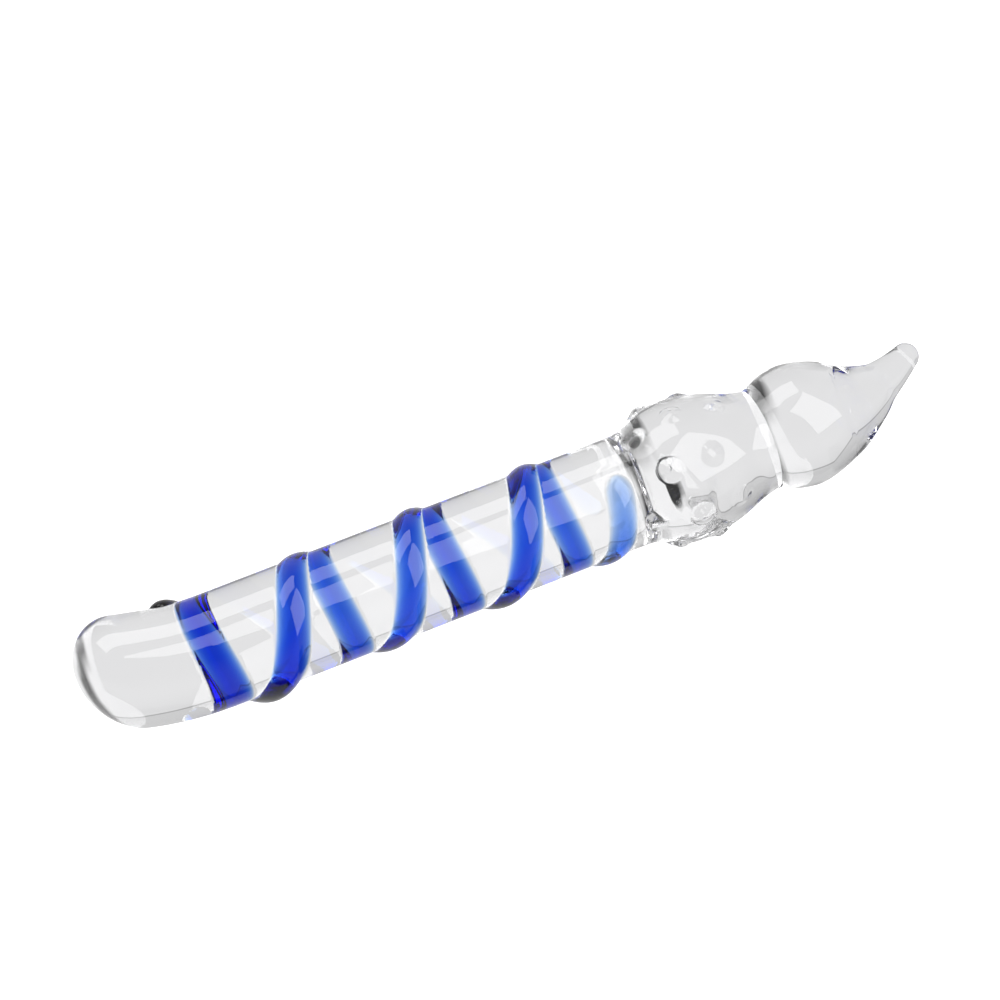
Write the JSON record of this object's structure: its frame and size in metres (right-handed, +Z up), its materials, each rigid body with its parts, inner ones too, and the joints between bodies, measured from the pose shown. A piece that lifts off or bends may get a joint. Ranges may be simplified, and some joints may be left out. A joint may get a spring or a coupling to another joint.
{
  "type": "solid glass wand",
  "caption": "Solid clear glass wand lying on its side: round rod with a bent, rounded nose, raised blue spiral, nubbed bulb and flame-shaped finial. An adult massage wand.",
  "frame": {"origin": "on the surface the wand lies on, below the middle of its bounding box", "axes": "+X along the wand from the rounded nose to the flame's tip, +Z up from the surface it lies on, +Y to the side that the nose and the tip curve towards. The rod's middle line rises by about half a degree towards the flame, as the wand rests on its spiral and on the belly of the bulb."},
  "size_m": [0.1984, 0.0318, 0.0318],
  "materials": {
    "clear_glass": "fire-polished, clear",
    "blue_glass": "fire-polished, cobalt blue, see-through at its thin edges"
  },
  "bodies": {
    "root": {"shaft_rod": "clear_glass", "spiral_trail": "blue_glass", "nub_bulb": "clear_glass", "nub_row_1": "clear_glass", "nub_row_2": "clear_glass", "nub_row_3": "clear_glass", "nub_row_4": "clear_glass", "nub_row_5": "clear_glass", "flame_finial": "clear_glass"}
  },
  "joints": []
}
